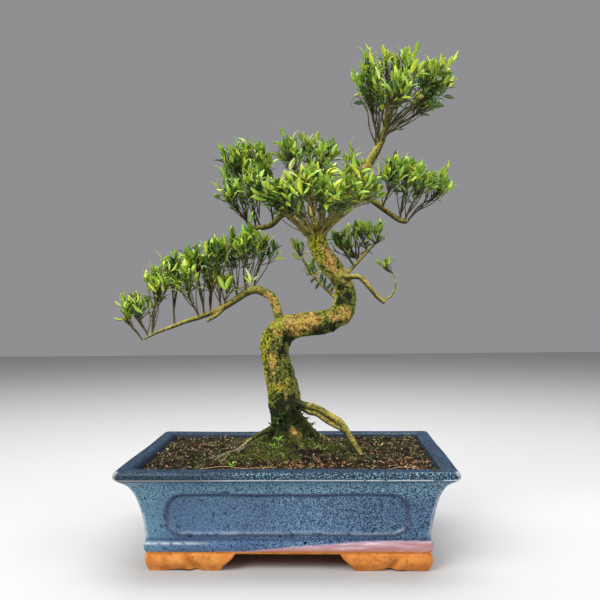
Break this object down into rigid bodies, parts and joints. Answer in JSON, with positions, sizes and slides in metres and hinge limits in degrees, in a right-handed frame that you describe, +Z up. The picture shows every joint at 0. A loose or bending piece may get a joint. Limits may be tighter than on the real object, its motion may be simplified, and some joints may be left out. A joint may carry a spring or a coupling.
{
  "type": "brush cherry bonsai",
  "caption": "Brush cherry bonsai with an S-shaped trunk, leafy pads and an arching root, in a flared rectangular glazed pot on corner feet.",
  "frame": {"origin": "on the ground under the middle of the pot", "axes": "+Z up; X along the pot's long side, with the low left branch towards -X and the apex towards +X; the front of the tree and pot towards -Y"},
  "size_m": [0.41, 0.25, 0.593],
  "materials": {
    "glazed_pot": "speckled blue gloss glaze on fired clay, bare terracotta on the feet",
    "drain_mesh": "matt black moulded mesh",
    "soil": "damp bonsai soil with bark chips and moss",
    "bark": "fine flaking bark with yellow-green lichen and moss",
    "leaves": "small glossy leaves, bright yellow-green at the shoot tips"
  },
  "bodies": {
    "root": {"pot": "glazed_pot", "drain_mesh_left": "drain_mesh", "drain_mesh_right": "drain_mesh", "soil": "soil", "trunk": "bark", "spray_apex_back": "leaves", "spray_apex_front": "leaves", "spray_apex_left": "leaves", "spray_apex_middle": "leaves", "spray_apex_right": "leaves", "spray_apex_right_low": "leaves", "spray_apex_top": "leaves", "spray_back_left_end": "leaves", "spray_back_left_low": "leaves", "spray_back_right_end": "leaves", "spray_back_right_inner": "leaves", "spray_back_right_top": "leaves", "spray_crown_left_front": "leaves", "spray_crown_left_inner": "leaves", "spray_crown_left_low": "leaves", "spray_crown_left_outer": "leaves", "spray_crown_left_top": "leaves", "spray_curl_tip": "leaves", "spray_front_end": "leaves", "spray_front_far_left": "leaves", "spray_front_far_right": "leaves", "spray_front_high": "leaves", "spray_front_leader": "leaves", "spray_front_left": "leaves", "spray_front_middle": "leaves", "spray_front_right": "leaves", "spray_left_end": "leaves", "spray_left_inner": "leaves", "spray_left_inner_back": "leaves", "spray_left_low": "leaves", "spray_left_middle": "leaves", "spray_left_middle_back": "leaves", "spray_left_middle_top": "leaves", "spray_left_outer": "leaves", "spray_left_outer_back": "leaves", "spray_left_tip": "leaves", "spray_left_top": "leaves", "spray_left_top_back": "leaves", "spray_right_front": "leaves", "spray_right_inner": "leaves", "spray_right_outer": "leaves", "spray_right_top": "leaves", "spray_top_back": "leaves", "spray_top_left": "leaves", "spray_top_middle": "leaves", "spray_top_right": "leaves"}
  },
  "joints": []
}
